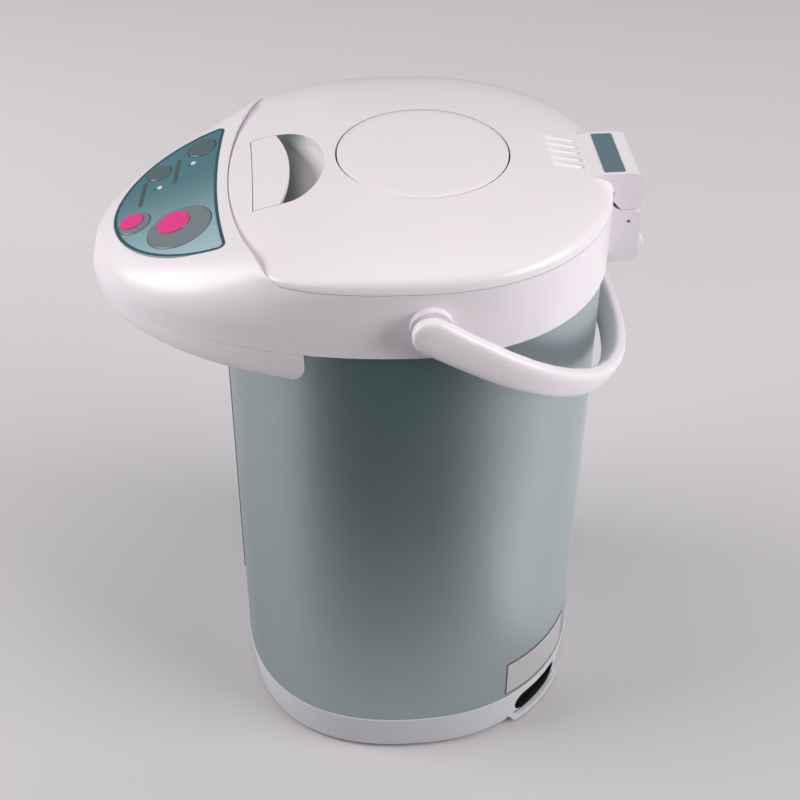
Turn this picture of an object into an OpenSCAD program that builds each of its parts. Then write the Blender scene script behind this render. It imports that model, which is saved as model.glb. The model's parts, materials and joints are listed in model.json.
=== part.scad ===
// Electric thermo pot: an insulated, heated water pot with an electric pump and spout, an air pump
// in its hinged lid, four keys on a sloping panel and a folding bail handle.
// The origin is where the pot's axis meets the table. The spout points to -Y, the lid hinge is at
// +Y, and +Z is up. All sizes are millimetres.

/* [Body] */
// Half of the metal body's width
body_half_w = 93; // [91:0.5:94]
// Height of the white base ring's upper edge
ring_top = 26; // [24:0.5:28]
// Height of the upper housing's lower edge
housing_low = 277; // [276:0.5:278]
// Height of the seam between the upper housing and the lid
seam = 311; // [310.5:0.25:311.5]
// Wall of the metal body
shell_t = 1; // [0.8:0.1:1.2]
// Wall of the moulded plastic covers
wall = 2.6; // [2.4:0.1:2.8]

/* [Nose and panel] */
// Reach of the nose in front of the body's axis
nose_reach = 153; // [150:0.5:156]
// Slope of the control panel in degrees
panel_slope = 18.8; // [18.4:0.1:19.2]
// Half of the control panel's width
panel_half_w = 54; // [52:0.5:55]
// Length of the control panel along its slope
panel_len = 57.4; // [56:0.2:57.6]
// How far a key goes down
key_travel = 0.8; // [0.5:0.1:0.8]

/* [Lid] */
// Height of the lid's crown above its seam
lid_rise = 16.3; // [16:0.1:17]
// Radius of the press plate
press_r = 40.4; // [39.5:0.1:40.6]
// How far the press plate goes down
press_travel = 16; // [10:1:16]
// Height of the lid hinge's pin
hinge_z = 295; // [294.5:0.1:295.5]
// Distance of the lid hinge's pin behind the body's axis
hinge_y = 103; // [102.5:0.1:103.5]

/* [Handle] */
// Half of the distance between the middles of the handle's arms
arm_x = 103; // [102.5:0.1:103.5]
// Height of the handle's pivots
pivot_z = 295; // [294:0.5:295]
// Distance from the pivots to the middle of the grip
grip_reach = 120; // [119:0.5:122]
// Angle of the folded handle below the horizontal
fold_angle = 32; // [30:1:34]

/* [Water path] */
// Inner radius of the stainless pot
pot_r = 74; // [72:0.5:74.5]
// Height of the pot's floor
pot_floor = 62; // [58:1:66]
// Radius of the pot's mouth in the upper housing
throat_r = 70; // [69:0.5:70.5]
// Distance of the spout in front of the body's axis
spout_y = 128; // [126:0.5:130]

/* [Hidden] */

white = [0.93, 0.91, 0.92];
$fn = 72;

// ---------- outlines in plan ----------
// Radius of a superellipse with half axes a and b and exponent n, in direction t
function superellipse_r(t, a, b, n) =
    pow(pow(abs(cos(t)) / a, n) + pow(abs(sin(t)) / b, n), -1 / n);

// Radius of an outline whose front and back halves are different superellipses
function outline_r(t, a, front, n_front, back, n_back) =
    sin(t) < 0 ? superellipse_r(t, a, front, n_front) : superellipse_r(t, a, back, n_back);

// The directions of an outline's points: they lie closest where the lid's front corners are
front_quarter = concat([for (i = [0 : 11]) 3 * i], [for (i = [0 : 8]) 35 + 1.5 * i],
                       [for (i = [0 : 13]) 50 + i * 40 / 13]);
last = len(front_quarter) - 1;
function ring_angles() = concat([for (i = [0 : 35]) 5 * i], [for (q = front_quarter) 180 + q],
                                [for (i = [last - 1 : -1 : 1]) 360 - front_quarter[i]]);

// The metal body: a soft square in front, nearly round behind
function body_outline(grow = 0) =
    [for (t = ring_angles())
        outline_r(t, body_half_w + grow, body_half_w - 1 + grow, 2.45, body_half_w + 1 + grow, 2.15)
        * [cos(t), sin(t)]];

// The housing and nose: the front half is drawn out into the nose, and it narrows going up.
// Each table row is [share of the way from the lower edge to the deck, value].
half_w = body_half_w + 1.8;
nose_side = [[0, 0], [0.84, 0], [0.95, -3], [1, -7]];
nose_front = [[0, 0], [0.3, -1.2], [0.6, -2.2], [0.84, -3.2], [0.95, -6], [1, -9]];
nose_power = [[0, 2], [0.6, 2.1], [1, 1.6]];
function housing_r(t, share, grow = 0) =
    outline_r(t, half_w + lookup(share, nose_side) + grow,
              nose_reach + lookup(share, nose_front) + grow, lookup(share, nose_power),
              half_w + 1 + grow, 2.15);

// The sloping deck that carries the control panel
deck_y = -87;
deck_z = seam + 2.5;
function deck(y) = deck_z + (y - deck_y) * tan(panel_slope);
function share_at(y, z) = (z - housing_low) / (deck(y) - housing_low);

// The housing's outline at the lid seam, found in two steps because the deck slopes
function seam_guess(t) = housing_r(t, 0.6) * sin(t);
function seam_r(t, grow = 0) = housing_r(t, share_at(min(seam_guess(t), 0), seam), grow);

// The lid: the seam outline, cut off in front by a wide arc with rounded corners
lid_arc_r = 215;
lid_arc_y = lid_arc_r - 86;
corner_power = 40;
function arc_r(t, grow) = lid_arc_y * sin(t)
    + sqrt(pow(lid_arc_y * sin(t), 2) + pow(lid_arc_r + grow, 2) - pow(lid_arc_y, 2));
function lid_r(t, grow) =
    pow(pow(seam_r(t, grow), -corner_power) + pow(arc_r(t, grow), -corner_power), -1 / corner_power);
function lid_outline(grow = 0) = [for (t = ring_angles()) lid_r(t, grow) * [cos(t), sin(t)]];

// ---------- solids from outlines ----------
// A closed solid through rings of points, listed from the bottom up
module loft(rings) {
    n = len(rings[0]);
    m = len(rings);
    sides = [for (j = [0 : m - 2], i = [0 : n - 1])
        let (k = (i + 1) % n, low = j * n, high = low + n)
        each [[low + i, high + i, high + k], [low + i, high + k, low + k]]];
    floor_face = [for (i = [0 : n - 1]) i];
    top_face = [for (i = [n - 1 : -1 : 0]) (m - 1) * n + i];
    polyhedron([for (ring = rings) each ring], concat([floor_face], sides, [top_face]));
}

module slab(outline, low, high) {
    translate([0, 0, low]) linear_extrude(high - low) polygon(outline);
}

module wall_ring(outer, inner, low, high) {
    difference() {
        slab(outer, low, high);
        slab(inner, low - 1, high + 1);
    }
}

// A tube or washer on the Z axis, which keeps its round faces
module tube(r, bore, low, high) {
    translate([0, 0, low]) difference() {
        cylinder(r = r, h = high - low);
        translate([0, 0, -1]) cylinder(r = bore, h = high - low + 2);
    }
}

// Children are drawn on the panel: u across, v up its slope, w out of it
module on_panel() {
    translate([0, deck_y, deck_z]) rotate([panel_slope, 0, 0]) children();
}

module both_sides() {
    children();
    mirror([1, 0, 0]) children();
}

// ---------- base ----------
foot_out = 82;
foot_in = 75;
screw_spots = [for (a = [30, 150, 210, 330]) 62 * [cos(a), sin(a)]];
screw_hole_r = 1.6;
inlet_angle = 47;
inlet_w = 36;
inlet_low = 6.5;
inlet_high = 19.5;
inlet_face = 90;

module at_inlet() {
    rotate([0, 0, inlet_angle]) children();
}

// A rounded bar lying along the inlet's width, used for its opening and its lip
module inlet_bar(width, low, high, from, to) {
    r = (high - low) / 2;
    at_inlet() translate([from, 0, low + r]) rotate([0, 90, 0]) linear_extrude(to - from) hull()
        for (s = [-1, 1]) translate([0, s * (width / 2 - r)]) circle(r = r, $fn = 32);
}

module base_ring() {
    color(white) difference() {
        union() {
            loft([for (step = [[2, -2.6], [3.2, -1.5], [ring_top - 1, 0.7], [ring_top, 0.4]])
                [for (p = body_outline(step[1])) [p[0], p[1], step[0]]]]);
            // the lip under the inlet
            intersection() {
                inlet_bar(inlet_w + 10, 2, 12, inlet_face, 110);
                slab(body_outline(1.4), 2, 5.6);
            }
        }
        slab(body_outline(-shell_t - wall), 1, 30);
        slab(body_outline(0.05), ring_top - 4, 30);
        inlet_bar(inlet_w + 2, inlet_low - 1, inlet_high + 1, 70, 110);
    }
}

cover_top = 4.6;
module bottom_cover() {
    vent_count = 7;
    color([0.85, 0.84, 0.85]) difference() {
        slab(body_outline(-shell_t - wall - 0.4), 2, cover_top);
        tube(foot_out, foot_in, 1, 3.2);
        for (spot = screw_spots) translate([spot[0], spot[1], 1]) {
            cylinder(r = screw_hole_r, h = 5);
            cylinder(r = 3.6, h = 2);
        }
        for (i = [0 : vent_count - 1])
            translate([(i - (vent_count - 1) / 2) * 9 - 1.5, 12, 1]) cube([3, 34, 5]);
    }
}

// One soft ring that keeps the pot from sliding
module foot_ring() {
    color([0.12, 0.12, 0.13]) rotate_extrude() polygon([[foot_in, 3.2], [foot_in, 0.8],
        [foot_in + 0.8, 0], [foot_out - 0.8, 0], [foot_out, 0.8], [foot_out, 3.2]]);
}

module base_screws() {
    color([0.6, 0.6, 0.62]) for (spot = screw_spots) translate([spot[0], spot[1], 0]) {
        difference() {
            translate([0, 0, 2.2]) cylinder(r = 3.2, h = 0.8);
            translate([-2.4, -0.4, 2]) cube([4.8, 0.8, 0.7]);
            translate([-0.4, -2.4, 2]) cube([0.8, 4.8, 0.7]);
        }
        translate([0, 0, 3]) cylinder(r = screw_hole_r - 0.2, h = 9);
    }
}

module inlet_socket() {
    color([0.06, 0.06, 0.07]) difference() {
        at_inlet() translate([66, -inlet_w / 2 - 2, inlet_low - 1.7])
            cube([inlet_face - 5 - 66, inlet_w + 4, inlet_high - inlet_low + 3.7]);
        inlet_bar(inlet_w - 5, inlet_low + 0.8, inlet_high - 0.8, 74, 110);
        inlet_pins();
    }
}

pin_gap = 12;
module inlet_pins() {
    color([0.8, 0.75, 0.5]) at_inlet() for (s = [-1, 1])
        translate([72, s * pin_gap / 2, (inlet_low + inlet_high) / 2]) rotate([0, 90, 0])
            cylinder(r = 2, h = 10);
}

module power_board() {
    color([0.16, 0.42, 0.24]) translate([-64, -22, 14]) cube([34, 46, 1.6]);
    color([0.1, 0.1, 0.11]) translate([-60, -16, 15.6]) cube([14, 16, 13]);
    color([0.85, 0.65, 0.2]) translate([-42, 12, 15.6]) cylinder(r = 6, h = 12);
}

// ---------- pump and water path ----------
pump_y = -38;
pump_low = 34;
pump_high = 50;
tube_r = 5;
tube_bore = 3.4;
riser_y = -83;
bend_r = 8;
outlet_z = 42;
spout_run_z = 284;

module pump_motor() {
    color([0.55, 0.56, 0.58]) translate([0, pump_y, 0]) {
        translate([0, 0, 8]) cylinder(r = 14, h = 24);
        translate([0, 0, 6]) cylinder(r = 4, h = 2);
        translate([0, 0, 32]) cylinder(r = 18, h = 2);
    }
}

module pump_housing() {
    color([0.88, 0.88, 0.86]) difference() {
        union() {
            translate([0, pump_y, pump_low]) cylinder(r = 20, h = pump_high - pump_low);
            translate([0, pump_y, pump_high]) cylinder(r = 6, h = pot_floor - 1.4 - pump_high);
            translate([0, pump_y - 18, outlet_z]) rotate([90, 0, 0])
                cylinder(r = 5, h = pump_y - 18 - riser_y - bend_r);
        }
        translate([0, pump_y, pump_low + 2]) cylinder(r = 17, h = pump_high - pump_low - 4);
        translate([0, pump_y, pump_high - 3]) cylinder(r = 3.5, h = 20);
        translate([0, pump_y - 15, outlet_z]) rotate([90, 0, 0]) cylinder(r = 3.4, h = 60);
    }
}

// A quarter bend of the tube in the YZ plane: it starts along +Z at the origin and turns to -Y
module quarter_bend(r, bore) {
    translate([0, -bend_r, 0]) rotate([0, 0, 90]) rotate([90, 0, 0])
        rotate_extrude(angle = 90) translate([bend_r, 0]) difference() {
            circle(r = r);
            circle(r = bore);
        }
}

module riser_tube() {
    color([0.86, 0.92, 0.93, 0.6]) translate([0, riser_y, 0]) {
        tube(tube_r, tube_bore, outlet_z + bend_r, spout_run_z - bend_r);
        translate([0, 0, outlet_z + bend_r]) mirror([0, 0, 1]) mirror([0, 1, 0])
            quarter_bend(tube_r, tube_bore);
    }
}

module spout_pipe() {
    color([0.9, 0.9, 0.88]) {
        translate([0, riser_y, spout_run_z - bend_r]) quarter_bend(tube_r, tube_bore);
        translate([0, riser_y - bend_r, spout_run_z]) rotate([90, 0, 0])
            tube(tube_r, tube_bore, 0, spout_y + riser_y - 2 * bend_r);
        translate([0, -spout_y, spout_run_z - bend_r]) mirror([0, 1, 0]) quarter_bend(tube_r, tube_bore);
        translate([0, -spout_y, 0]) tube(tube_r, tube_bore, 264, spout_run_z - bend_r);
    }
}

// The hole through the housing and the notch in the metal body that the spout pipe runs through
module pipe_hole() {
    translate([0, -70, spout_run_z - 1]) rotate([90, 0, 0]) cylinder(r = tube_r + 1.5, h = 26);
}

nozzle_low = 254;
nozzle_bore = 3.6;
module spout_nozzle() {
    color([0.2, 0.22, 0.24]) translate([0, -spout_y, 0]) difference() {
        union() {
            translate([0, 0, nozzle_low]) cylinder(r1 = 5.6, r2 = 6.4, h = 10);
            translate([0, 0, nozzle_low + 10]) cylinder(r = 6.4, h = 6);
        }
        translate([0, 0, nozzle_low - 1]) cylinder(r = nozzle_bore, h = 30);
        translate([0, 0, nozzle_low + 10]) cylinder(r = tube_r, h = 10);
    }
}

module pot_cradle() {
    color([0.8, 0.79, 0.76]) {
        tube(66, 58, pot_floor - 7, pot_floor - 2);
        for (spot = screw_spots) translate([spot[0], spot[1], cover_top]) difference() {
            cylinder(r = 3.4, h = pot_floor - 6 - cover_top);
            translate([0, 0, -1]) cylinder(r = 1.5, h = 12);
        }
    }
}

flange_z = 288;
flange_r = 77;
module inner_pot() {
    corner = 9;
    color([0.78, 0.79, 0.8]) difference() {
        rotate_extrude() difference() {
            union() {
                translate([0, pot_floor - 1]) square([pot_r + 1 - corner, 20]);
                translate([0, pot_floor - 1 + corner])
                    square([pot_r + 1, flange_z + 1 - pot_floor - corner]);
                translate([pot_r + 1 - corner, pot_floor - 1 + corner]) circle(r = corner);
                translate([0, flange_z]) square([flange_r, 1]);
            }
            union() {
                translate([-1, pot_floor]) square([pot_r + 2 - corner, 20]);
                translate([-1, pot_floor + corner - 1]) square([pot_r + 1, 300]);
                translate([pot_r + 1 - corner, pot_floor - 1 + corner]) circle(r = corner - 1);
            }
        }
        translate([0, pump_y, pot_floor - 5]) cylinder(r = 3.5, h = 10);
    }
}

module insulation_jacket() {
    color([0.75, 0.76, 0.72]) tube(77.3, pot_r + 1.3, 112, flange_z - 12);
}

heater_low = 70;
module heater_band() {
    color([0.72, 0.6, 0.4]) {
        tube(pot_r + 3.4, pot_r + 1, heater_low, heater_low + 34);
        for (a = [-6, 6]) rotate([0, 0, 200 + a]) translate([pot_r + 3.2, -2, heater_low + 12])
            cube([6, 4, 6]);
    }
}

module thermostat() {
    color([0.3, 0.2, 0.16]) translate([0, 18, pot_floor - 1]) mirror([0, 0, 1]) {
        cylinder(r = 8, h = 1);
        translate([0, 0, 1]) cylinder(r = 7, h = 7);
        for (s = [-1, 1]) translate([s * 4 - 1.5, -0.4, 8]) cube([3, 0.8, 5]);
    }
}

module pot_seal() {
    color([0.75, 0.73, 0.7]) tube(flange_r, throat_r + 0.6, flange_z + 1, flange_z + 2.4);
}

// ---------- metal body and its water window ----------
window_w = 17;
window_low = 62;
window_high = 246;

module window_opening(extra, from, to) {
    end_r = window_w / 2;
    r = end_r + extra;
    translate([0, -to, 0]) rotate([90, 0, 0]) mirror([0, 0, 1]) linear_extrude(to - from) {
        translate([0, window_low + end_r]) circle(r = r);
        translate([0, window_high - end_r]) circle(r = r);
        translate([-r, window_low + end_r]) square([2 * r, window_high - window_low - 2 * end_r]);
    }
}

module body_shell() {
    color([0.55, 0.62, 0.61]) difference() {
        wall_ring(body_outline(), body_outline(-shell_t), ring_top - 3.8, housing_low + 4);
        window_opening(0.2, 60, 110);
        inlet_bar(inlet_w + 2, inlet_low - 1, inlet_high + 1, 70, 110);
        pipe_hole();
    }
}

module window_frame() {
    color([0.3, 0.42, 0.45]) difference() {
        intersection() {
            wall_ring(body_outline(0.6), body_outline(-shell_t - 0.8), 40, 270);
            window_opening(0, 60, 110);
        }
        window_opening(-2.4, 60, 110);
    }
}

module level_window() {
    color([0.75, 0.88, 0.92, 0.5]) intersection() {
        wall_ring(body_outline(0.3), body_outline(-shell_t - 0.8), 40, 270);
        window_opening(-2.4, 60, 110);
    }
}

// ---------- upper housing and nose ----------
shelf_low = 300;
shelf_top = 303;
throat_low = flange_z + 2.4;
pivot_pin_r = 4;
pivot_boss_in = 84;
recess_gap = 4;

function housing_ring(share, grow, drop) = [for (t = ring_angles())
    let (r = housing_r(t, share, grow), y = r * sin(t))
    [r * cos(t), y, housing_low + share * (deck(y) - housing_low) - drop]];

module housing_block(grow, drop, shares) {
    loft([for (share = shares) housing_ring(share, grow, share == 0 ? min(drop, 1) : drop)]);
}

module panel_outline_2d(shrink = 0) {
    back_r = 308;
    offset(r = 3.5 - shrink, $fn = 24) offset(delta = -3.5) difference() {
        polygon([for (a = [180 : 4 : 360])
            superellipse_r(a, panel_half_w, panel_len, 1.93) * [cos(a), sin(a)]]);
        translate([0, back_r - 4.6]) circle(r = back_r, $fn = 180);
    }
}

// [u, v, radius] of each key's round hole on the panel
dispense_spot = [24.7, -23.2, 15.8];
unlock_spot = [8.9, -46.2, 8];
boil_spot = [-40.2, -12.5, 7.3];
warm_spot = [-29.8, -34.7, 6.2];
key_spots = [dispense_spot, unlock_spot, boil_spot, warm_spot];
led_spots = [[-16.3, -34.2], [-28.6, -17]];
led_r = 1.3;
panel_t = 1.2;
deck_t = 3;
key_gap = 0.35;

// The boss in each side that a handle pin is fixed in
boss_r = 9.6;
module pivot_boss(r, gap) {
    both_sides() translate([pivot_boss_in - gap, 0, pivot_z]) rotate([0, 90, 0])
        cylinder(r = r, h = arm_x - arm_t / 2 - 0.4 - pivot_boss_in + gap);
}

module key_holes(gap, low, high) {
    for (spot = key_spots) translate([spot[0], spot[1], low])
        cylinder(r = spot[2] + gap, h = high - low);
    for (spot = led_spots) translate([spot[0], spot[1], low])
        cylinder(r = led_r + 0.05, h = high - low);
}

module upper_housing() {
    outer_shares = [0, 0.3, 0.6, 0.84, 0.95, 1];
    inner_shares = [0, 0.6, 0.9, 1];
    color(white) difference() {
        union() {
            difference() {
                housing_block(0, 0, outer_shares);
                // the hollow inside: all of the nose, and everything under the lid's seat
                intersection() {
                    housing_block(-wall, deck_t, inner_shares);
                    union() {
                        difference() {
                            translate([-120, -170, 200]) cube([240, 170, 200]);
                            translate([0, lid_arc_y, 199])
                                cylinder(r = lid_arc_r + wall + 0.4, h = 202, $fn = 180);
                        }
                        translate([-120, -170, 200]) cube([240, 300, shelf_top - 200]);
                    }
                }
                slab(body_outline(0.2), housing_low - 2, housing_low + 4.2);
            }
            pivot_boss(boss_r, 0);
        }
        // room for the lid, down to its seat
        slab(lid_outline(0.4), seam, 400);
        translate([-120, -58, seam]) cube([240, 200, 100]);
        slab(lid_outline(-recess_gap), shelf_top, 400);
        both_sides() translate([body_half_w - 6, 0, pivot_z]) rotate([0, 90, 0])
            cylinder(r = pivot_pin_r, h = 20);
        on_panel() {
            translate([0, 0, -panel_t]) linear_extrude(10) panel_outline_2d();
            key_holes(key_gap, -10, 10);
            // room for the keys' flanges
            for (spot = key_spots) translate([spot[0], spot[1], key_low - 3])
                cylinder(r = spot[2] + key_flange + 0.4, h = 4.4);
        }
    }
}

// The ring under the lid: its shelf carries the lid, one skirt plugs into the metal body and the
// other stands on the pot's seal
module lid_seat() {
    color([0.9, 0.89, 0.9]) difference() {
        union() {
            slab(lid_outline(-wall - 0.3), shelf_low, shelf_top);
            wall_ring(body_outline(-shell_t - 0.2), body_outline(-shell_t - 2), 272, shelf_low + 1);
            tube(throat_r + 3, throat_r, throat_low, shelf_low + 1);
        }
        translate([0, 0, shelf_low - 1]) cylinder(r = throat_r, h = 10);
        pipe_hole();
        pivot_boss(boss_r + 0.3, 0.4);
    }
}

// Height of the nose cover's flat underside
function cover_low(y) = 259 - 0.06 * (y + 70);
function cover_ring(share, grow, lift) = [for (t = ring_angles())
    let (r = housing_r(t, 0, grow), y = r * sin(t), low = cover_low(y) + lift)
    [r * cos(t), y, low + share * (housing_low - 0.2 - low)]];

// The part of space in front of the body that the nose cover fills, with a rounded lower rear corner
module cover_side_view(back, low, r) {
    rotate([90, 0, 90]) linear_extrude(240, center = true) {
        translate([-200, low]) square([200 + back - r, 60]);
        translate([-200, low + r]) square([200 + back, 60]);
        translate([back - r, low + r]) circle(r = r);
    }
}

module nose_cover() {
    color(white) difference() {
        intersection() {
            loft([cover_ring(0, -6.5, 0), cover_ring(0.07, -3.5, 0), cover_ring(0.2, -1.8, 0),
                  cover_ring(0.5, -0.4, 0), cover_ring(1, 0, 0)]);
            cover_side_view(-55.5, 257.5, 13);
        }
        intersection() {
            loft([cover_ring(0, -8, wall), cover_ring(0.2, -wall - 2, wall), cover_ring(1.2, -wall, 0)]);
            cover_side_view(-58.5, 260.5, 11);
        }
        slab(body_outline(0.3), 200, 300);
        translate([0, -spout_y, 240]) cylinder(r = 7.2, h = 40);
    }
}

// ---------- control panel ----------
board_top = -7.6;
switch_h = 1.8;
key_flange = 1;
key_low = -4.6;
key_proud = 0.5;

module control_panel() {
    color([0.42, 0.58, 0.62]) on_panel() difference() {
        translate([0, 0, -panel_t]) linear_extrude(panel_t) panel_outline_2d(0.15);
        key_holes(key_gap, -5, 5);
    }
}

module key_board() {
    color([0.16, 0.42, 0.24]) on_panel() intersection() {
        translate([-50, -54, board_top - 1.6]) cube([100, 47, 1.6]);
        translate([0, 0, board_top - 5]) linear_extrude(10) scale([0.86, 0.86]) panel_outline_2d();
    }
}

module key_switches() {
    color([0.15, 0.15, 0.16]) on_panel() for (spot = key_spots)
        translate([spot[0] - 3, spot[1] - 3, board_top]) cube([6, 6, switch_h]);
}

module led_lenses() {
    color([0.9, 0.95, 0.96]) on_panel() for (spot = led_spots)
        translate([spot[0], spot[1], board_top]) {
            cylinder(r = led_r, h = -board_top + 0.2);
            cylinder(r = 1.8, h = 2);
        }
}

// A round key with a flange under the deck that keeps it from falling out
module key_body(spot) {
    translate([spot[0], spot[1], 0]) {
        translate([0, 0, key_low]) cylinder(r = spot[2] + key_flange, h = 1.2);
        translate([0, 0, key_low + 1]) cylinder(r = spot[2], h = -key_low - 1 + key_proud - 0.4);
        translate([0, 0, key_proud - 0.4]) cylinder(r1 = spot[2], r2 = spot[2] - 0.4, h = 0.4);
    }
}

module dispense_key() {
    color([0.87, 0.2, 0.5]) on_panel() {
        key_body(dispense_spot);
        translate([20.5, -26.1, key_proud - 0.1]) cylinder(r = 8, h = 0.7);
    }
}

module unlock_key() {
    color([0.87, 0.2, 0.5]) on_panel() {
        key_body(unlock_spot);
        translate([7.4, -47.6, key_proud - 0.1]) cylinder(r = 5.8, h = 0.7);
    }
}

module boil_key() {
    color([0.42, 0.47, 0.48]) on_panel() key_body(boil_spot);
}

module keep_warm_key() {
    color([0.42, 0.47, 0.48]) on_panel() key_body(warm_spot);
}

// ---------- lid hinge ----------
bracket_half_w = 20;
cheek_in = 14;
pin_r = 2;
block_back = 109;
clear_r = 6.6;

// Outline of the fixed hinge bracket, seen from the side (y, z)
module bracket_side_2d() {
    polygon([[88, 272], [block_back - 3, 272], [block_back - 1, 273], [block_back, 275],
             [block_back, hinge_z], [hinge_y, hinge_z + clear_r], [98.2, hinge_z + clear_r],
             [96.4, 302.3], [94.6, 303.9], [93, 306.2], [88, 306.2]]);
    intersection() {
        translate([hinge_y, hinge_z]) circle(r = clear_r);
        translate([hinge_y, hinge_z]) square([block_back - hinge_y, clear_r]);
    }
}

module housing_plan(gap, low, high) {
    slab([for (t = ring_angles()) housing_r(t, 0, gap) * [cos(t), sin(t)]], low, high);
}

// The pin's hole is wide up to pin_end and goes on narrow, so that the pin can be knocked out
pin_end = bracket_half_w - 1.6;
release_low = 275.7;
release_high = 285.3;
module hinge_bracket() {
    color(white) difference() {
        rotate([90, 0, 90]) linear_extrude(2 * bracket_half_w, center = true) bracket_side_2d();
        // the gap between the cheeks, open at the top and the back for the lid's knuckle
        translate([-cheek_in, hinge_y - 7, 288]) cube([2 * cheek_in, 30, 40]);
        translate([-30, hinge_y, hinge_z]) rotate([0, 90, 0]) cylinder(r = pin_r, h = 30 + pin_end);
        translate([-30, hinge_y, hinge_z]) rotate([0, 90, 0]) cylinder(r = 1, h = 60);
        housing_plan(0, 200, 400);
        // the window that the release key works in
        translate([-release_half_w - 0.3, hinge_y - 3.4, release_low])
            cube([2 * release_half_w + 0.6, 20, release_high - release_low]);
    }
}

module hinge_pin() {
    color([0.7, 0.71, 0.73]) translate([-bracket_half_w + 0.4, hinge_y, hinge_z]) rotate([0, 90, 0])
        cylinder(r = pin_r, h = bracket_half_w - 0.4 + pin_end);
}

release_half_w = 15.5;
module lid_release() {
    color(white) rotate([90, 0, 90]) linear_extrude(2 * release_half_w, center = true)
        polygon([[hinge_y + 0.6, 276], [hinge_y + 9, 276], [hinge_y + 9.6, 276.8], [hinge_y + 9.6, 281],
                 [hinge_y + 6.4, 285], [hinge_y + 0.6, 285]]);
}

// ---------- handle ----------
arm_t = 8;
arm_h_low = 18.4;
arm_h_high = 14.5;
knob_r = arm_h_low / 2;
pivot_bore_r = pivot_pin_r + 0.05;
pivot_bore_end = arm_x + arm_t / 2 - 2;
grip_centre = 20;
grip_power = 2.3;
function arm_h(t) = arm_h_low + (arm_h_high - arm_h_low) * t / grip_reach;

// The handle's sections from one pivot round to the other: [x, distance out from the pivots, height,
// thickness]. Each arm begins with a round end about its pivot.
arm_rows = concat(
    [for (b = [-80, -65, -45, -22])
        [arm_x, knob_r * sin(b), 2 * knob_r * cos(b), arm_t * pow(cos(b), 0.35)]],
    [for (t = [0, 8, 15]) [arm_x, t, arm_h(t), arm_t]]);
function grip_row(a) =
    let (t = grip_centre + (grip_reach - grip_centre) * pow(sin(a), 2 / grip_power))
    [arm_x * sign(cos(a)) * pow(abs(cos(a)), 2 / grip_power), t, arm_h(t), arm_t];
bail_rows = concat(arm_rows, [for (a = [0 : 7.5 : 180]) grip_row(a)],
    [for (i = [len(arm_rows) - 1 : -1 : 0]) let (row = arm_rows[i]) [-row[0], row[1], row[2], row[3]]]);

// The middle line's direction at row i
function bail_direction(i) =
    let (next = bail_rows[min(i + 1, len(bail_rows) - 1)], prior = bail_rows[max(i - 1, 0)],
         d = [next[0] - prior[0], next[1] - prior[1]]) d / norm(d);

// The rounded cross-section: across the arm's thickness and its height
section_points = 16;
function rounded(c, size) = size / 2 * sign(c) * pow(abs(c), 0.68);

module bail_sweep() {
    loft([for (i = [0 : len(bail_rows) - 1])
        let (row = bail_rows[i], d = bail_direction(i))
        [for (k = [0 : section_points - 1])
            let (a = 360 * (k + 0.5) / section_points, w = rounded(cos(a), row[3]))
            [row[0] + d[1] * w, row[1] - d[0] * w, -rounded(sin(a), row[2])]]]);
}

// The pins run in blind bores in the arms' inner faces, each in a bearing ring
ring_from = arm_x - arm_t / 2 + 0.6;
ring_t = 1.3;
ring_r = 6;
module handle() {
    color(white) translate([0, 0, pivot_z]) rotate([-fold_angle, 0, 0]) difference() {
        bail_sweep();
        both_sides() translate([arm_x - 10, 0, 0]) rotate([0, 90, 0]) {
            cylinder(r = pivot_bore_r, h = pivot_bore_end - arm_x + 10);
            cylinder(r = ring_r + 0.1, h = ring_from + ring_t - arm_x + 10);
        }
    }
}

module handle_pins() {
    color([0.85, 0.84, 0.86]) both_sides() translate([body_half_w - 6, 0, pivot_z]) rotate([0, 90, 0])
        cylinder(r = pivot_pin_r, h = pivot_bore_end - 0.2 - body_half_w + 6);
}

module handle_caps() {
    color(white) both_sides() translate([ring_from, 0, pivot_z]) rotate([0, 90, 0])
        tube(ring_r, pivot_bore_r, 0, ring_t);
}

// ---------- lid ----------
lid_low = seam + 0.4;
// From the seam to the crown: [share of the lid's outline, share of its rise, that share in front]
lid_steps = [[1, 0, 0], [0.996, 0.16, 0.15], [0.985, 0.29, 0.225], [0.965, 0.39, 0.28],
             [0.93, 0.48, 0.365], [0.88, 0.56, 0.49], [0.8, 0.665, 0.65], [0.68, 0.775, 0.775],
             [0.5, 0.895, 0.895], [0.3, 0.97, 0.97]];
under_steps = [[1, 0, 0], [0.97, 0.37, 0.25], [0.83, 0.62, 0.58], [0.32, 0.93, 0.93]];
// The front of the lid sinks a little below the rest of the dome
front_sink = 3.5;
function ease(x) = let (c = min(max(x, 0), 1)) c * c * (3 - 2 * c);
function rise_at(y) = lid_rise - 0.4 - front_sink * ease((-y - 28) / 34);
function lid_ring(step, shrink, drop) = [for (t = ring_angles())
    let (r = (lid_r(t, 0) - shrink) * step[0], y = r * sin(t),
         share = step[1] + (step[2] - step[1]) * ease((-y - 45) / 30))
    [r * cos(t), y, lid_low + share * rise_at(y) - (step[1] > 0 ? drop : min(drop, 1))]];

module lid_dome(steps = lid_steps, shrink = 0, drop = 0) {
    loft([for (step = steps) lid_ring(step, shrink, drop)]);
}

lever_half_w = 31.3;
lever_back = -57;
scoop_y = -61;
scoop_half_w = 31;
scoop_len = 20.5;
scoop_depth = 14.2;
scoop_top = seam + 9.6;
vent_spots = [for (i = [-2 : 2]) 6.1 * i];
press_well_r = 41.2;
knuckle_r = 5.2;
cap_top = seam + 10.3;

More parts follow.
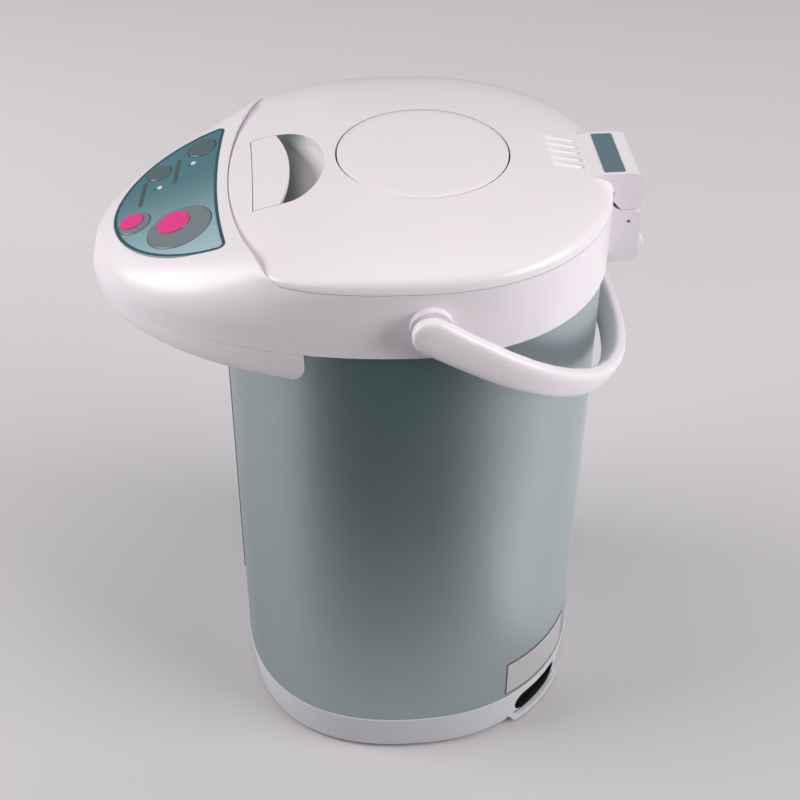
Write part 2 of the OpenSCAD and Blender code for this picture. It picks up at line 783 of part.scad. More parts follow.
// The finger scoop behind the lever: a squashed half ball with straight walls above it, cut flat in
// front
module scoop_bowl(extra) {
    floor_r = [scoop_half_w + extra, scoop_len + extra];
    intersection() {
        translate([0, scoop_y, scoop_top]) {
            scale([floor_r[0], floor_r[1], scoop_depth + min(extra, 1.2)]) sphere(r = 1, $fn = 36);
            linear_extrude(20) scale(floor_r) circle(r = 1, $fn = 36);
        }
        translate([-60, scoop_y - 1, 200]) cube([120, 60, 200]);
    }
}

// The lever's room, a little wider than the scoop: its front face is round about its own pin, its
// rear edge is bowed, and below it is open
lever_front_r = 4.2;
module lever_block(gap, low) {
    bow_r = 91;
    intersection() {
        union() {
            translate([-lever_half_w - gap, latch_y, latch_z]) rotate([0, 90, 0])
                cylinder(r = lever_front_r + gap, h = 2 * (lever_half_w + gap));
            translate([-lever_half_w - gap, latch_y, low])
                cube([2 * (lever_half_w + gap), lever_back - latch_y + gap, 60]);
        }
        translate([0, lever_back - bow_r + gap, low - 20]) cylinder(r = bow_r, h = 100, $fn = 120);
    }
}

// Outline of the block that joins the lid to its hinge, seen from the side (y, z)
module cap_side_2d() {
    low = hinge_z + clear_r + 0.3;
    polygon([[82, seam + 0.4], [82, cap_top - 1.5], [88, cap_top], [103.5, cap_top],
             [106.2, cap_top - 1], [107.4, cap_top - 3.6], [108, low], [98.6, low],
             [97.2, 303.4], [95.6, 305.4], [93.8, 307], [91, 307], [91, seam + 0.4]]);
}

// A louvre that slopes down to a narrow slot at its near side
vent_y = 66;
vent_z = 323.3;
vent_len = 15.5;
vent_slope = 12;
module steam_vent() {
    rotate([90 - vent_slope, 0, 0]) mirror([0, 0, 1]) linear_extrude(vent_len)
        polygon([[-2.2, 2], [-2.2, 0.3], [1.2, -1.8], [1.2, 2]]);
    translate([0.5, 0.5, -12]) cube([0.7, vent_len - 1.2, 20]);
}

module lid_cover() {
    color(white) difference() {
        union() {
            intersection() {
                lid_dome();
                union() {
                    difference() {
                        slab(lid_outline(5), lid_low - 1, seam + 30);
                        lid_dome(under_steps, wall, wall);
                    }
                    translate([0, press_y, 0]) tube(press_well_r + 1.8, press_well_r, lid_low, seam + 20);
                    // the two bosses that hold the latch's pin
                    both_sides() translate([lever_half_w + 0.8, latch_y - 3.5, latch_z - 3.5])
                        cube([5, 7, 12]);
                    for (spot = lid_screw_spots) translate([spot[0], spot[1], lid_low])
                        cylinder(r = 3.6, h = 12);
                }
            }
            // the scoop's shell, which hangs below the dome into the lid's base
            intersection() {
                scoop_bowl(2);
                union() {
                    lid_dome();
                    translate([-40, -64, 300]) cube([80, 30, lid_low - 299.5]);
                }
            }
            difference() {
                rotate([90, 0, 90]) linear_extrude(2 * bracket_half_w, center = true) cap_side_2d();
                housing_plan(0.5, 290, lid_low);
            }
            // the knuckle round the hinge pin
            translate([-cheek_in + 0.4, hinge_y, hinge_z]) rotate([0, 90, 0])
                cylinder(r = knuckle_r, h = 2 * cheek_in - 0.8);
            translate([-cheek_in + 0.4, hinge_y - knuckle_r, hinge_z])
                cube([2 * cheek_in - 0.8, 2 * knuckle_r - 1, clear_r + 2]);
        }
        translate([0, press_y, lid_low - 1]) cylinder(r = press_well_r, h = 60);
        scoop_bowl(0);
        lever_block(0.4, seam + 0.5);
        for (x = vent_spots) translate([x, vent_y, vent_z]) steam_vent();
        for (spot = lid_screw_spots) translate([spot[0], spot[1], lid_low - 1])
            cylinder(r = 1.45, h = 5);
        translate([-60, hinge_y, hinge_z]) rotate([0, 90, 0]) cylinder(r = pin_r + 0.05, h = 120);
        translate([-lever_half_w - 3.5, latch_y, latch_z]) rotate([0, 90, 0])
            cylinder(r = 1.5, h = 2 * lever_half_w + 7);
    }
}

press_y = 5.8;
valve_y = 56;
valve_r = 6;
base_plate_low = seam - 2.4;
cup_low = 289;
cup_r = 66;
module lid_base() {
    color([0.88, 0.87, 0.88]) difference() {
        union() {
            slab(lid_outline(-recess_gap - 4), base_plate_low, seam + 0.2);
            tube(cup_r, cup_r - 2.5, cup_low, base_plate_low + 1);
            translate([0, 0, cup_low]) cylinder(r = cup_r, h = 2.5);
            translate([0, press_y, 0]) tube(43, press_well_r + 0.2, cup_low + 2, base_plate_low + 1);
        }
        translate([0, press_y, cup_low + 2.5]) cylinder(r = press_well_r + 0.2, h = 40);
        translate([0, press_y, cup_low - 1]) cylinder(r = 4, h = 10);
        translate([0, valve_y, cup_low - 1]) cylinder(r = valve_r + 0.05, h = 40);
        for (x = eye_spots) translate([x - 5, -81.5, seam - 5]) cube([10, 14, 10]);
        // room for the finger scoop
        translate([-27.5, -64, 303]) cube([55, 22, 20]);
        for (spot = lid_screw_spots) translate([spot[0], spot[1], seam - 5]) cylinder(r = 1.5, h = 10);
    }
}

lid_screw_spots = [[-76, -30], [76, -30], [-70, 44], [70, 44]];
module lid_screws() {
    color([0.6, 0.6, 0.62]) for (spot = lid_screw_spots) translate([spot[0], spot[1], seam - 4.2]) {
        cylinder(r = 2.8, h = 1.8);
        cylinder(r = 1.4, h = 6.6);
    }
}

module steam_valve() {
    color([0.86, 0.86, 0.88]) translate([0, valve_y, 0]) difference() {
        union() {
            translate([0, 0, cup_low - 4]) cylinder(r = valve_r, h = seam + 5.5 - cup_low);
            translate([0, 0, cup_low + 2.5]) cylinder(r = valve_r + 1, h = 2);
        }
        translate([0, 0, cup_low - 2]) cylinder(r = valve_r - 1.8, h = 18);
        for (a = [0, 120, 240]) rotate([0, 0, a]) translate([2.4, 0, cup_low - 6])
            cylinder(r = 1, h = 12);
        translate([0, 0, cup_low]) cylinder(r = 1.8, h = 60);
    }
}

module inner_lid() {
    color([0.78, 0.79, 0.8]) difference() {
        rotate_extrude() polygon([[0, 285.5], [62.8, 285.5], [64, 287.2], [66, 287.2], [66, 289],
                                  [63.2, 289], [62, 287.3], [0, 287.3]]);
        translate([0, press_y, 270]) cylinder(r = 4, h = 30);
        translate([0, valve_y, 270]) cylinder(r = valve_r + 0.3, h = 30);
    }
}

module lid_gasket() {
    color([0.86, 0.85, 0.83]) rotate_extrude() polygon([[cup_r, 287.2], [68.8, 285.6], [69, 286.8],
        [67.4, 289], [69, 291], [68.4, 292], [cup_r, 291]]);
}

// ---------- air pump in the lid ----------
press_top = seam + lid_rise;
module press_plate() {
    skirt = 5.5;
    color(white) translate([0, press_y, press_top]) rotate_extrude() polygon([[0, 0], [14, -0.1],
        [26, -0.4], [34, -0.7], [39, -1], [press_r, -1.6], [press_r, -skirt], [press_r - 2, -skirt],
        [press_r - 2, -3.4], [12, -2.8], [12, -6], [0, -6]]);
}

bellows_top = press_top - 6;
module pump_bellows() {
    folds = 4;
    low = cup_low + 2.5;
    pitch = (bellows_top - low) / folds;
    color([0.8, 0.78, 0.72]) translate([0, press_y, 0]) difference() {
        rotate_extrude() polygon(concat([[0, low]], [for (i = [0 : folds - 1]) each
            [[24, low + i * pitch], [30, low + (i + 0.5) * pitch]]],
            [[24, bellows_top], [0, bellows_top]]));
        translate([0, 0, low - 1]) cylinder(r = 21, h = bellows_top - low - 2);
    }
}

spring_turns = 5;
module press_spring() {
    wire = 1;
    low = cup_low + 2.5 + wire;
    high = press_top - 3.5 - wire;
    steps = 14 * spring_turns;
    turn_r = 35;
    color([0.7, 0.71, 0.73]) translate([0, press_y, 0]) loft([for (i = [0 : steps])
        let (a = 360 * i * spring_turns / steps, z = low + (high - low) * i / steps)
        [for (k = [0 : 5]) let (q = 60 * k, r = turn_r - wire * cos(q))
            [r * cos(a), r * sin(a), z + wire * sin(q)]]]);
}

// ---------- lid latch ----------
latch_y = -70.5;
latch_z = 315.8;
eye_spots = [-20, 20];
coil_r = 2.2;

// The plate's underside rises to the rear, so that the lip over the scoop is thin
module latch_lever() {
    color(white) difference() {
        union() {
            intersection() {
                lid_dome();
                lever_block(0, 300);
                rotate([90, 0, 90]) linear_extrude(120, center = true)
                    polygon([[-80, latch_z + 0.2], [-67, latch_z + 0.2], [-56, 319.3], [-56, 345],
                             [-80, 345]]);
            }
            for (x = eye_spots) {
                translate([x - 4, latch_y, latch_z]) rotate([0, 90, 0]) cylinder(r = 2.8, h = 8);
                translate([x - 4, latch_y - 2.6, latch_z - 8.8]) cube([8, 2, 8.8]);
            }
        }
        translate([-60, latch_y, latch_z]) rotate([0, 90, 0]) cylinder(r = 1.55, h = 120);
        // room for the two coils
        for (s = [-1, 1]) translate([s * 8 - 3.3, latch_y, latch_z]) rotate([0, 90, 0])
            cylinder(r = coil_r + 0.3, h = 6.6);
    }
}

module latch_pin() {
    color([0.7, 0.71, 0.73]) translate([-lever_half_w - 3.5, latch_y, latch_z]) rotate([0, 90, 0])
        cylinder(r = 1.5, h = 2 * lever_half_w + 7);
}

module latch_spring() {
    color([0.7, 0.71, 0.73]) for (s = [-1, 1]) translate([s * 8 - 3, latch_y, latch_z]) rotate([0, 90, 0])
        tube(coil_r, 1.6, 0, 6);
}

base_ring();
bottom_cover();
foot_ring();
base_screws();
inlet_socket();
inlet_pins();
power_board();
pump_motor();
pump_housing();
riser_tube();
spout_pipe();
spout_nozzle();
pot_cradle();
inner_pot();
insulation_jacket();
heater_band();
thermostat();
pot_seal();
body_shell();
window_frame();
level_window();
upper_housing();
lid_seat();
nose_cover();
control_panel();
key_board();
key_switches();
led_lenses();
dispense_key();
unlock_key();
boil_key();
keep_warm_key();
hinge_bracket();
hinge_pin();
lid_release();
handle_pins();
handle_caps();
handle();
lid_cover();
lid_base();
lid_screws();
steam_valve();
inner_lid();
lid_gasket();
press_plate();
pump_bellows();
press_spring();
latch_lever();
latch_pin();
latch_spring();
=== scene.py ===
# %% [markdown]
# # Dressing an electric thermo pot
# The pot is a tall insulated jug with a metal body, a white moulded base, housing and lid, a sloping
# key panel on its nose and a folding bail handle. Its solids come from CAD as a fixed frame, in metres,
# with the spout nose pointing to -Y, the lid hinge at +Y and the cord inlet at the back on the +X side.
# This lesson gives every surface its finish, and adds what is printed, glued or pressed on.

# %% Load the pot's solids
import json
import math

import bpy
from mathutils import Matrix, Vector


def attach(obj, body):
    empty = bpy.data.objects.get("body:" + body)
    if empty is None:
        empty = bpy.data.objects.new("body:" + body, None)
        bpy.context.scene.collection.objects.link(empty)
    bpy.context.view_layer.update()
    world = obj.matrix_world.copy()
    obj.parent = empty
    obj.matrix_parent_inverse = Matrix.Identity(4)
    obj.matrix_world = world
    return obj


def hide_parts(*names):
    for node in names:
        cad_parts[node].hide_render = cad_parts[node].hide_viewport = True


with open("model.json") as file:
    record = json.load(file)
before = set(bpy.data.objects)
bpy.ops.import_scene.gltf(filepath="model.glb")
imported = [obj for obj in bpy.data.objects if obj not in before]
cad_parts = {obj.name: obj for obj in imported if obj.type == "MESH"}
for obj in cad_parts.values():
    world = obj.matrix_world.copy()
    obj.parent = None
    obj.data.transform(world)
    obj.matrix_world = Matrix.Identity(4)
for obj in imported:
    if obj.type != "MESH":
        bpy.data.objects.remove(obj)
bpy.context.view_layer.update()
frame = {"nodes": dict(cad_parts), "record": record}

# %% [markdown]
# ## Sizes that the pieces share
# A few of the pot's real sizes are needed again here, because prints and plates are set out from them.
# They are kept in millimetres, as a maker would say them, and turned into metres where they are used.

# %% Name the sizes
MM = 0.001
SEAM_Z = 311 * MM
CAP_TOP_Z = SEAM_Z + 10.3 * MM
DECK_POINT = Vector((0, -87 * MM, SEAM_Z + 2.5 * MM))
PANEL_SLOPE = math.radians(18.8)
BODY_HALF = 93 * MM

panel_u = Vector((1, 0, 0))
panel_v = Vector((0, math.cos(PANEL_SLOPE), math.sin(PANEL_SLOPE)))
panel_w = panel_u.cross(panel_v)


def on_panel(u, v, w):
    """A point of the key panel: u across, v up its slope and w out of it, in millimetres."""
    return DECK_POINT + (panel_u * u + panel_v * v + panel_w * w) * MM


def panel_coordinates(point):
    """How far a point lies across, up and out of the key panel, in millimetres."""
    offset = (Vector(point) - DECK_POINT) / MM
    return offset.dot(panel_u), offset.dot(panel_v), offset.dot(panel_w)


def body_radius(angle, grow=0.0):
    """The metal body's radius in a direction: a soft square in front and nearly round behind."""
    c, s = math.cos(angle), math.sin(angle)
    half_depth, power = (92 * MM, 2.45) if s < 0 else (94 * MM, 2.15)
    side = (abs(c) / (BODY_HALF + grow)) ** power + (abs(s) / (half_depth + grow)) ** power
    return side ** (-1 / power)


print("the panel leans", round(math.degrees(PANEL_SLOPE), 1), "degrees")

# %% [markdown]
# ## Small tools
# Blender's operators act on whatever is selected, so each step first selects one piece and nothing else.
# A solid from CAD is a soup of loose triangles. A dressed copy of it has its doubles merged, so that
# round walls can shade smoothly while real corners stay crisp, and a hair of bevel on those corners
# catches the light as a moulded edge does.

# %% Selecting, settling and dressing
body_of_node = {n: b for b, names in frame["record"]["behaviour"]["bodies"].items() for n in names}
MERGE_WITHIN, SLIVER = 0.004 * MM, 0.002 * MM
SHORTEST_EDGE = 1.5 * MM
FLAT_ENOUGH, SHARP_CORNER = math.radians(0.5), math.radians(50)
WIDE_CORNER = 50


def only(piece):
    """Select this piece and nothing else."""
    if bpy.context.mode != "OBJECT":
        bpy.ops.object.mode_set(mode="OBJECT")
    bpy.ops.object.select_all(action="DESELECT")
    piece.select_set(True)
    bpy.context.view_layer.objects.active = piece


def settle(piece, body):
    """Put the place into the mesh, then let the piece ride on its body."""
    only(piece)
    bpy.ops.object.transform_apply(location=True, rotation=True, scale=True)
    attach(piece, body)
    return piece


def apply_modifier(piece, kind, **settings):
    """Put a modifier on a piece, set it and make it part of the mesh."""
    only(piece)
    modifier = piece.modifiers.new(kind.lower(), kind)
    for name, value in settings.items():
        setattr(modifier, name, value)
    bpy.ops.object.modifier_apply(modifier=modifier.name)


def soften_long_edges(piece, width):
    """Round the long sharp edges of a piece in edit mode, and leave its small holes alone."""
    only(piece)
    bpy.ops.object.mode_set(mode="EDIT")
    bpy.ops.mesh.select_mode(type="EDGE")
    bpy.ops.mesh.select_all(action="SELECT")
    bpy.ops.mesh.dissolve_limited(angle_limit=FLAT_ENOUGH)
    bpy.ops.mesh.select_all(action="DESELECT")
    bpy.ops.mesh.edges_select_sharp(sharpness=SHARP_CORNER)
    bpy.ops.object.mode_set(mode="OBJECT")
    for edge in piece.data.edges:
        start, end = (piece.data.vertices[i].co for i in edge.vertices)
        edge.select = edge.select and (start - end).length > SHORTEST_EDGE
    bpy.ops.object.mode_set(mode="EDIT")
    bpy.ops.mesh.bevel(offset=width * MM, segments=3, clamp_overlap=True)
    bpy.ops.mesh.select_mode(type="FACE")
    bpy.ops.object.mode_set(mode="OBJECT")


def dressed(node, finish, corner=40, bevel=0.0, block=0.0):
    """A smooth copy of a CAD node that stands for it, with its corner in degrees, the rest in mm."""
    piece = bpy.data.objects.new(node + "_skin", frame["nodes"][node].data.copy())
    bpy.context.scene.collection.objects.link(piece)
    only(piece)
    bpy.ops.object.mode_set(mode="EDIT")
    bpy.ops.mesh.select_all(action="SELECT")
    bpy.ops.mesh.remove_doubles(threshold=MERGE_WITHIN)
    bpy.ops.mesh.customdata_custom_splitnormals_clear()
    bpy.ops.mesh.dissolve_degenerate(threshold=SLIVER)
    bpy.ops.object.mode_set(mode="OBJECT")
    if block:
        soften_long_edges(piece, block)
    if bevel:
        apply_modifier(piece, "BEVEL", width=bevel * MM, segments=2, limit_method="ANGLE",
                       angle_limit=SHARP_CORNER, harden_normals=False, miter_outer="MITER_ARC")
    only(piece)
    bpy.ops.object.shade_smooth_by_angle(angle=math.radians(corner))
    if bevel or block or corner >= WIDE_CORNER:
        apply_modifier(piece, "WEIGHTED_NORMAL", keep_sharp=True, weight=60)
    piece.data.materials.clear()
    piece.data.materials.append(finish)
    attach(piece, body_of_node[node])
    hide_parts(node)
    print(piece.name, len(piece.data.polygons), "faces")
    return piece


# %% [markdown]
# ## Shared effects
# Two effects come back in nearly every finish. Grain is the fine texture that a mould, a brush or a
# spray leaves, used for tiny bumps. Haze is a slow cloudy change, used to vary gloss the way handling
# and cleaning do. Each is a node group, so that every material can place it with its own values.

# %% Make the two effect groups
NOISE_LOW, NOISE_HIGH = 0.3, 0.7


def new_group(name, inputs, outputs):
    """An empty shader node group with these sockets, and its entry and exit nodes."""
    group = bpy.data.node_groups.new(name, "ShaderNodeTree")
    for label, kind, value in inputs:
        socket = group.interface.new_socket(name=label, in_out="INPUT", socket_type=kind)
        if value is not None:
            socket.default_value = value
    for label, kind in outputs:
        group.interface.new_socket(name=label, in_out="OUTPUT", socket_type=kind)
    return group, group.nodes.new("NodeGroupInput"), group.nodes.new("NodeGroupOutput")


def noise(tree, scale, detail=2.0, roughness=0.5):
    """A noise texture, finer with a larger scale."""
    node = tree.nodes.new("ShaderNodeTexNoise")
    node.inputs["Scale"].default_value = scale
    node.inputs["Detail"].default_value = detail
    node.inputs["Roughness"].default_value = roughness
    return node


def math_node(tree, operation, first=None, second=None):
    """One sum on values, where an input that is None waits for a link."""
    node = tree.nodes.new("ShaderNodeMath")
    node.operation = operation
    for place, value in enumerate((first, second)):
        if value is not None:
            node.inputs[place].default_value = value
    return node


grain_group, entry, leave = new_group(
    "fine_grain",
    [("Place", "NodeSocketVector", None), ("Fineness", "NodeSocketFloat", 900.0)],
    [("Height", "NodeSocketFloat")])
grain_noise = noise(grain_group, 900.0, detail=3.0, roughness=0.6)
grain_group.links.new(entry.outputs["Place"], grain_noise.inputs["Vector"])
grain_group.links.new(entry.outputs["Fineness"], grain_noise.inputs["Scale"])
grain_group.links.new(grain_noise.outputs["Fac"], leave.inputs["Height"])

haze_group, entry, leave = new_group(
    "slow_haze",
    [("Place", "NodeSocketVector", None), ("Size", "NodeSocketFloat", 18.0),
     ("Low", "NodeSocketFloat", 0.3), ("High", "NodeSocketFloat", 0.4)],
    [("Value", "NodeSocketFloat")])
haze_noise = noise(haze_group, 18.0, detail=4.0, roughness=0.55)
haze_range = haze_group.nodes.new("ShaderNodeMapRange")
haze_range.inputs["From Min"].default_value = NOISE_LOW
haze_range.inputs["From Max"].default_value = NOISE_HIGH
haze_group.links.new(entry.outputs["Place"], haze_noise.inputs["Vector"])
haze_group.links.new(entry.outputs["Size"], haze_noise.inputs["Scale"])
haze_group.links.new(haze_noise.outputs["Fac"], haze_range.inputs["Value"])
haze_group.links.new(entry.outputs["Low"], haze_range.inputs["To Min"])
haze_group.links.new(entry.outputs["High"], haze_range.inputs["To Max"])
haze_group.links.new(haze_range.outputs["Result"], leave.inputs["Value"])
print("effects:", grain_group.name, haze_group.name)


# %% [markdown]
# ## Finishes
# One helper builds the common part of a finish: a Principled shader whose gloss varies with the haze
# and whose surface has the grain as a tiny bump. Colours that vary a little over the surface come from
# a mix between two near tones.

# %% A finish with grain and haze
GRAIN_DEPTH = 0.5 * MM
CLOUD_TO_HAZE = 1.7


def srgb(red, green, blue):
    """A colour as seen on a screen, 0 to 255, turned into the linear values that shaders use."""
    values = [c / 255 for c in (red, green, blue)]
    linear = [c / 12.92 if c <= 0.04045 else ((c + 0.055) / 1.055) ** 2.4 for c in values]
    return (*linear, 1.0)


def finish_of(name, tone, other_tone, gloss=(0.3, 0.4), metallic=0.0, fineness=900.0, bump=0.02,
              stretch=(1, 1, 1), patch=18.0, **sockets):
    """A finish between two near tones, its gloss as lowest and highest roughness, with a grain bump."""
    material = bpy.data.materials.new(name)
    material.use_nodes = True
    tree = material.node_tree
    shader = tree.nodes["Principled BSDF"]
    place = tree.nodes.new("ShaderNodeTexCoord")
    turn = tree.nodes.new("ShaderNodeMapping")
    turn.inputs["Scale"].default_value = stretch
    tree.links.new(place.outputs["Object"], turn.inputs["Vector"])

    haze = tree.nodes.new("ShaderNodeGroup")
    haze.node_tree = haze_group
    haze.inputs["Size"].default_value = patch
    haze.inputs["Low"].default_value = gloss[0]
    haze.inputs["High"].default_value = gloss[1]
    tree.links.new(place.outputs["Object"], haze.inputs["Place"])
    tree.links.new(haze.outputs["Value"], shader.inputs["Roughness"])

    cloud = noise(tree, patch * CLOUD_TO_HAZE, detail=3.0)
    tree.links.new(place.outputs["Object"], cloud.inputs["Vector"])
    tint = tree.nodes.new("ShaderNodeMix")
    tint.data_type = "RGBA"
    tint.inputs["A"].default_value = tone
    tint.inputs["B"].default_value = other_tone
    tree.links.new(cloud.outputs["Fac"], tint.inputs["Factor"])
    tree.links.new(tint.outputs["Result"], shader.inputs["Base Color"])

    grain = tree.nodes.new("ShaderNodeGroup")
    grain.node_tree = grain_group
    grain.inputs["Fineness"].default_value = fineness
    tree.links.new(turn.outputs["Vector"], grain.inputs["Place"])
    relief = tree.nodes.new("ShaderNodeBump")
    relief.inputs["Strength"].default_value = bump
    relief.inputs["Distance"].default_value = GRAIN_DEPTH
    tree.links.new(grain.outputs["Height"], relief.inputs["Height"])
    tree.links.new(relief.outputs["Normal"], shader.inputs["Normal"])

    shader.inputs["Metallic"].default_value = metallic
    for socket, value in sockets.items():
        shader.inputs[socket.replace("_", " ")].default_value = value
    material.diffuse_color = tone
    return material


def fade(tree, source, start, end, low, high):
    """A smooth step of a value between two places."""
    step = tree.nodes.new("ShaderNodeMapRange")
    step.interpolation_type = "SMOOTHSTEP"
    for label, value in (("From Min", start), ("From Max", end), ("To Min", low), ("To Max", high)):
        step.inputs[label].default_value = value
    tree.links.new(source, step.inputs["Value"])
    return step.outputs["Result"]


def mix_into_base(tree, share, first, second):
    """Let the base colour run from one tone to another by a share between 0 and 1."""
    blend = tree.nodes.new("ShaderNodeMix")
    blend.data_type = "RGBA"
    blend.inputs["A"].default_value = first
    blend.inputs["B"].default_value = second
    tree.links.new(share, blend.inputs["Factor"])
    tree.links.new(blend.outputs["Result"], tree.nodes["Principled BSDF"].inputs["Base Color"])


def object_axes(tree):
    """The place on the piece as separate X, Y and Z values, in metres."""
    axes = tree.nodes.new("ShaderNodeSeparateXYZ")
    tree.links.new(tree.nodes["Texture Coordinate"].outputs["Object"], axes.inputs["Vector"])
    return axes.outputs


# %% [markdown]
# The pot has one glossy white plastic, a satin metallic paint, printed films and a dozen inner materials.
# Each is named for what it is on the pot. A texture picture could colour each one, but two near tones
# and a range of gloss are enough for plain plastics, and most of the glossy ones share one range.

# %% The pot's finishes
WHITE, BASE_GREY, BLACK = srgb(233, 225, 230), srgb(207, 206, 210), srgb(24, 28, 28)
EVEN_GLOSS = (0.28, 0.34)
white_moulding = finish_of("white_moulding", WHITE, srgb(230, 223, 228),
                           gloss=EVEN_GLOSS, bump=0.03, fineness=1400)
base_moulding = finish_of("base_moulding", BASE_GREY, srgb(203, 203, 207),
                          gloss=(0.3, 0.38), bump=0.03, fineness=1400)
satin_body = finish_of("satin_body_paint", srgb(170, 184, 186), srgb(165, 180, 182),
                       gloss=(0.34, 0.4), metallic=0.9, bump=0.04, fineness=2600)
print("main finishes:", white_moulding.name, satin_body.name)

panel_border = finish_of("panel_border_print", srgb(48, 88, 98), srgb(44, 82, 92),
                         gloss=EVEN_GLOSS, bump=0.01)
panel_print = finish_of("panel_dark_print", srgb(74, 84, 86), srgb(80, 90, 92), gloss=(0.3, 0.4), bump=0.01)
key_grey = finish_of("grey_key_film", srgb(118, 128, 132), srgb(114, 124, 128),
                     gloss=EVEN_GLOSS, bump=0.015)
key_dark_grey = finish_of("dark_grey_key_film", srgb(88, 104, 108), srgb(84, 100, 104),
                          gloss=EVEN_GLOSS, bump=0.015)
key_magenta = finish_of("magenta_key_film", srgb(226, 62, 140), srgb(220, 58, 134),
                        gloss=EVEN_GLOSS, bump=0.015)
lamp_lens = finish_of("lamp_lens", srgb(214, 232, 236), srgb(206, 226, 230), gloss=(0.08, 0.14), bump=0.0)
print("panel finishes:", panel_border.name, key_grey.name)

stainless = finish_of("brushed_stainless", srgb(196, 197, 199), srgb(188, 189, 192),
                      gloss=EVEN_GLOSS, metallic=1.0, bump=0.06, fineness=300, stretch=(1, 1, 14))
plated_steel = finish_of("plated_steel", srgb(200, 200, 204), srgb(192, 192, 196), gloss=(0.14, 0.22),
                         metallic=1.0, bump=0.02)
brass = finish_of("brass", srgb(206, 176, 104), srgb(196, 166, 96), gloss=EVEN_GLOSS, metallic=1.0)
black_moulding = finish_of("black_moulding", BLACK, srgb(20, 23, 24), gloss=(0.45, 0.55), bump=0.05)
grey_moulding = finish_of("grey_moulding", srgb(150, 152, 156), srgb(144, 146, 150),
                          gloss=(0.4, 0.5), bump=0.04)
rubber = finish_of("foot_rubber", srgb(34, 35, 37), srgb(40, 41, 43),
                   gloss=(0.7, 0.8), bump=0.08, fineness=500)
silicone = finish_of("seal_silicone", srgb(214, 212, 206), srgb(208, 206, 200), gloss=(0.5, 0.6), bump=0.03)
heat_moulding = finish_of("heat_moulding", srgb(206, 200, 190), srgb(200, 194, 184), gloss=(0.5, 0.6))
felt = finish_of("felt_jacket", srgb(206, 206, 198), srgb(190, 190, 182), gloss=(0.9, 0.95), bump=0.4,
                 fineness=240)
mica = finish_of("heater_mica", srgb(190, 160, 108), srgb(176, 146, 96), gloss=(0.4, 0.5), metallic=0.4)
board_lacquer = finish_of("board_lacquer", srgb(44, 104, 62), srgb(38, 94, 56), gloss=(0.3, 0.4))
milky_moulding = finish_of("milky_moulding", srgb(224, 224, 218), srgb(218, 218, 212), gloss=(0.4, 0.5))
print("inner finishes:", stainless.name, silicone.name)

# %% [markdown]
# The water window is a clear moulding, so light has to pass through it. Its roughness still varies a
# little, but its Transmission Weight is one plain number on the shader.

# %% The clear window
clear_moulding = finish_of("clear_moulding", srgb(222, 234, 236), srgb(216, 230, 232), gloss=(0.06, 0.12),
                           bump=0.0, Transmission_Weight=0.85, IOR=1.49)

# %% [markdown]
# ## The white mouldings
# The housing, nose cover, lid and handle are injection mouldings in one glossy white plastic with a faint
# pink cast, and the base ring is a little greyer. Each real moulding has softly broken edges, because a
# sharp one would chip and cut. The block-like ones get a wider rounding along their long edges only.
# The lid's scoop, vents and seams are already in the solids.

# %% Dress the white mouldings
for node, corner, bevel in (("upper_housing", 50, 0.0), ("nose_cover", 50, 0.0), ("lid_cover", 50, 0.0),
                            ("latch_lever", 50, 0.0), ("handle", 60, 0.0), ("handle_caps", 40, 0.2),
                            ("press_plate", 50, 0.3), ("lid_seat", 40, 0.0), ("lid_base", 40, 0.2),
                            ("bottom_cover", 40, 0.2), ("handle_pins", 40, 0.0)):
    dressed(node, white_moulding, corner=corner, bevel=bevel)
for node in ("hinge_bracket", "lid_release"):
    dressed(node, white_moulding, corner=30, block=0.6)
dressed("base_ring", base_moulding, corner=40, bevel=0.3)

# %% [markdown]
# ## A finer front seam
# The lid's front edge meets the housing along a hairline seam. The clearance that a working lid needs
# is wider than it looks, so the lid's front wall moves out by a quarter to half a millimetre in the
# pictures, and less dark shows beside it.

# %% Narrow the front seam
LID_MIDDLE = Vector((0, -20 * MM, 0))
FRONT_BEFORE, FRONT_BEYOND = -40 * MM, 78 * MM
LIP_TOP, FRONT_WALL_TOP = SEAM_Z + 1 * MM, SEAM_Z + 4.5 * MM
LIP_STEP, WALL_STEP = 0.26 * MM, 0.45 * MM
UPRIGHT = 0.5
moved = 0
for vertex in bpy.data.objects["lid_cover_skin"].data.vertices:
    place, sideways = vertex.co, Vector((vertex.normal.x, vertex.normal.y, 0))
    in_front = place.y < FRONT_BEFORE and place.xy.length > FRONT_BEYOND
    low_down = SEAM_Z < place.z < FRONT_WALL_TOP
    if in_front and low_down and sideways.length > UPRIGHT and sideways.dot(place - LID_MIDDLE) > 0:
        vertex.co += sideways.normalized() * (LIP_STEP if place.z < LIP_TOP else WALL_STEP)
        moved += 1
print("points moved at the lid's front seam:", moved)
